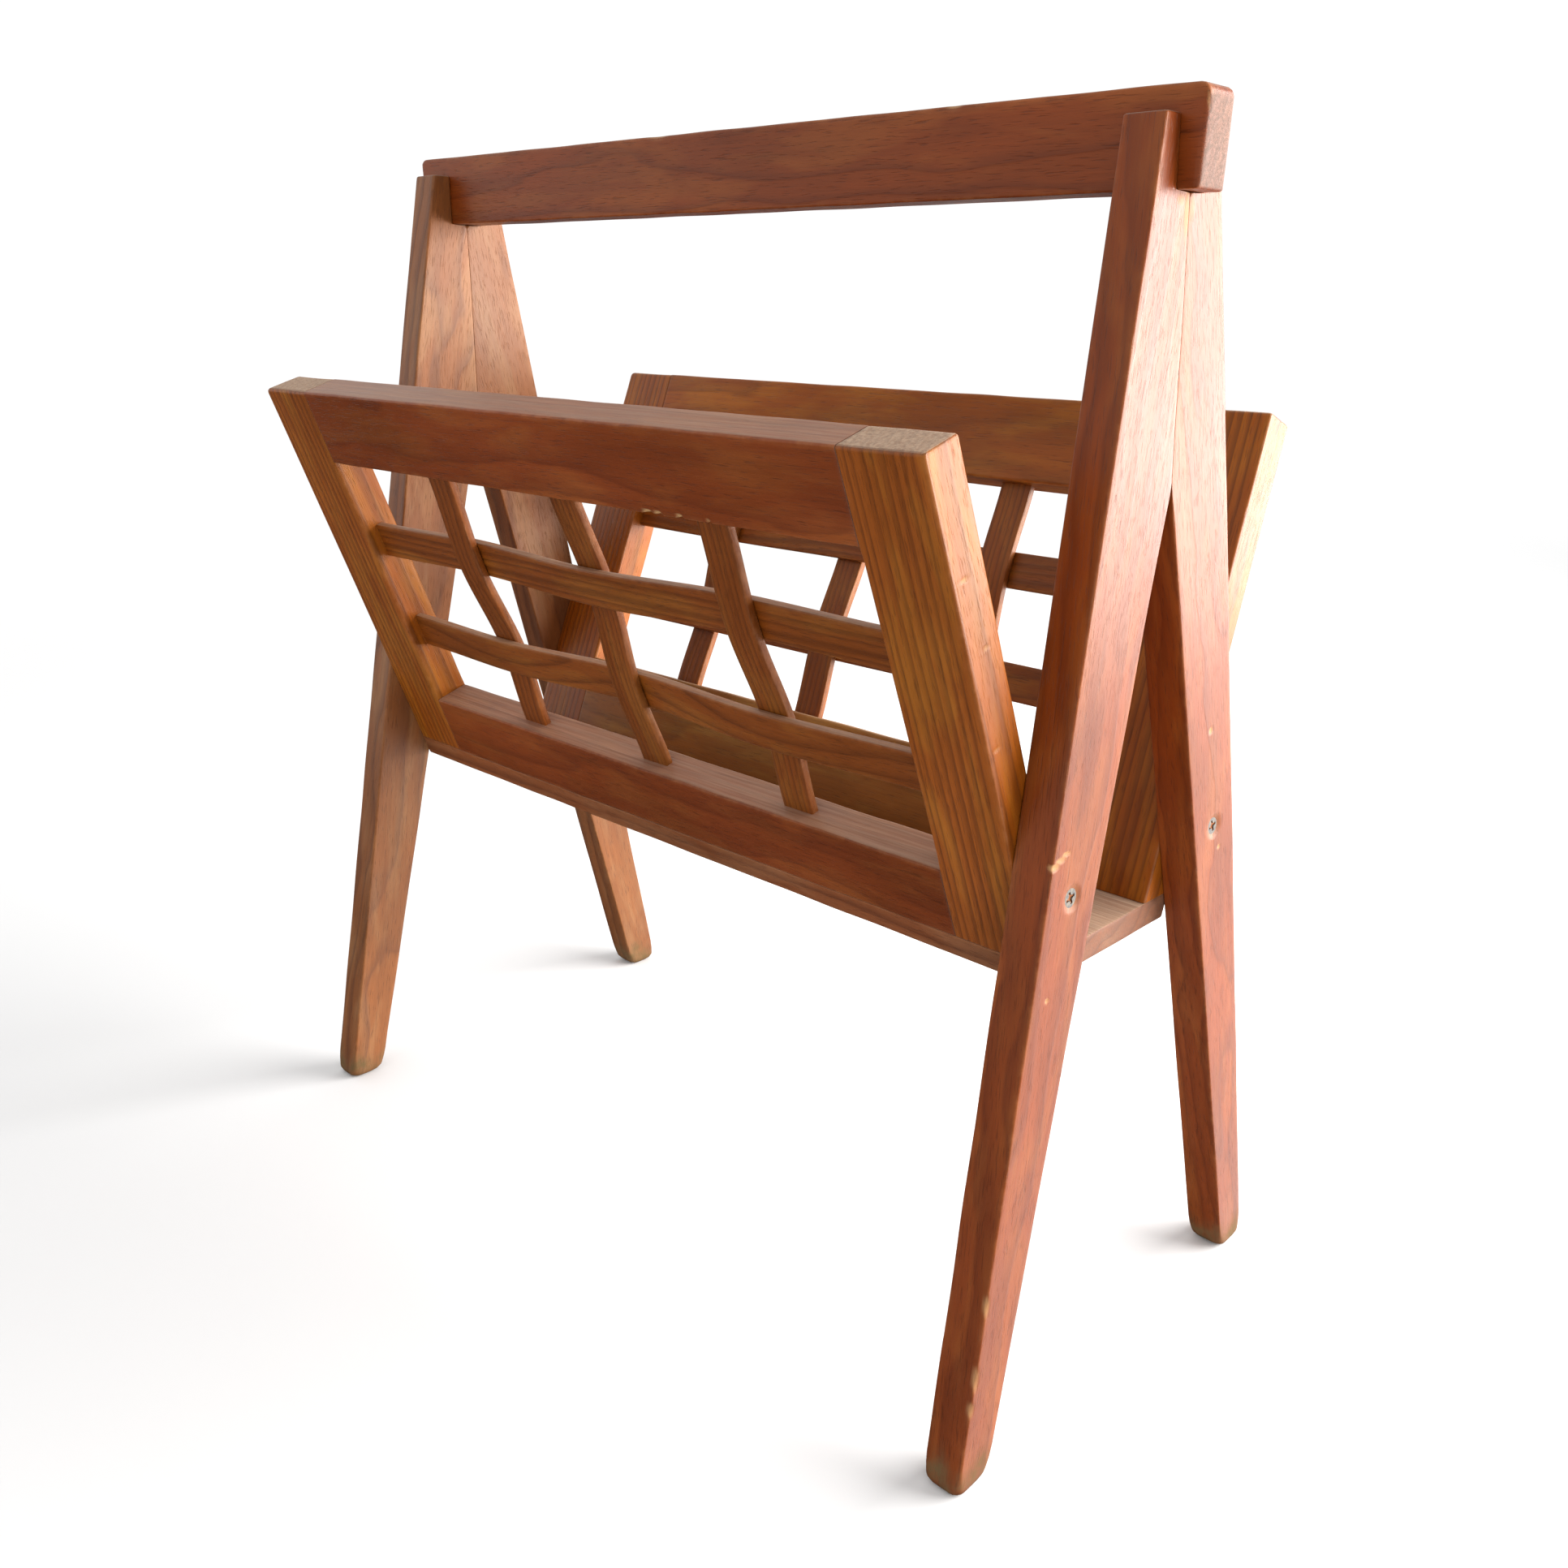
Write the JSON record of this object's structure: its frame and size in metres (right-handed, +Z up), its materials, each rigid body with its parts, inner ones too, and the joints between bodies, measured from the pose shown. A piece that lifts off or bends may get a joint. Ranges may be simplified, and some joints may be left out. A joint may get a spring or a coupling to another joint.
{
  "type": "magazine rack",
  "caption": "Freestanding wooden magazine rack: a V-shaped basket of leaning woven-slat panels on a floor board, held between A-frame legs that a carrying handle joins.",
  "frame": {"origin": "on the floor, under the middle of the rack", "axes": "+X along the handle, +Z up, -Y towards the front panel"},
  "size_m": [0.4604, 0.2297, 0.48],
  "materials": {
    "leg_wood": "old satin varnish over straight-grained reddish wood, greyed at the feet",
    "handle_wood": "satin varnish over dark reddish brown wood",
    "panel_wood": "satin varnish, long grain on the faces and open end grain on the stile tops",
    "slat_wood": "satin varnish on thin bent slats",
    "floor_wood": "satin varnish, end grain showing at both ends",
    "dowel_wood": "plain unfinished hardwood, hidden in the joints",
    "screw_steel": "dull bright steel, a little tarnished",
    "pin_steel": "dull steel, under the floor board"
  },
  "bodies": {
    "root": {"floor_board": "floor_wood", "floor_pins": "pin_steel", "front_cross_slat_lower": "slat_wood", "front_cross_slat_upper": "slat_wood", "front_foot_rail": "panel_wood", "front_rail_dowels": "dowel_wood", "front_stile_left": "panel_wood", "front_stile_right": "panel_wood", "front_top_rail": "panel_wood", "front_upright_slat_left": "slat_wood", "front_upright_slat_middle": "slat_wood", "front_upright_slat_right": "slat_wood", "handle": "handle_wood", "handle_dowels": "dowel_wood", "leg_front_left": "leg_wood", "leg_front_right": "leg_wood", "leg_rear_left": "leg_wood", "leg_rear_right": "leg_wood", "leg_screws": "screw_steel", "leg_seam_dowels": "dowel_wood", "rear_cross_slat_lower": "slat_wood", "rear_cross_slat_upper": "slat_wood", "rear_foot_rail": "panel_wood", "rear_rail_dowels": "dowel_wood", "rear_stile_left": "panel_wood", "rear_stile_right": "panel_wood", "rear_top_rail": "panel_wood", "rear_upright_slat_left": "slat_wood", "rear_upright_slat_middle": "slat_wood", "rear_upright_slat_right": "slat_wood"}
  },
  "joints": []
}
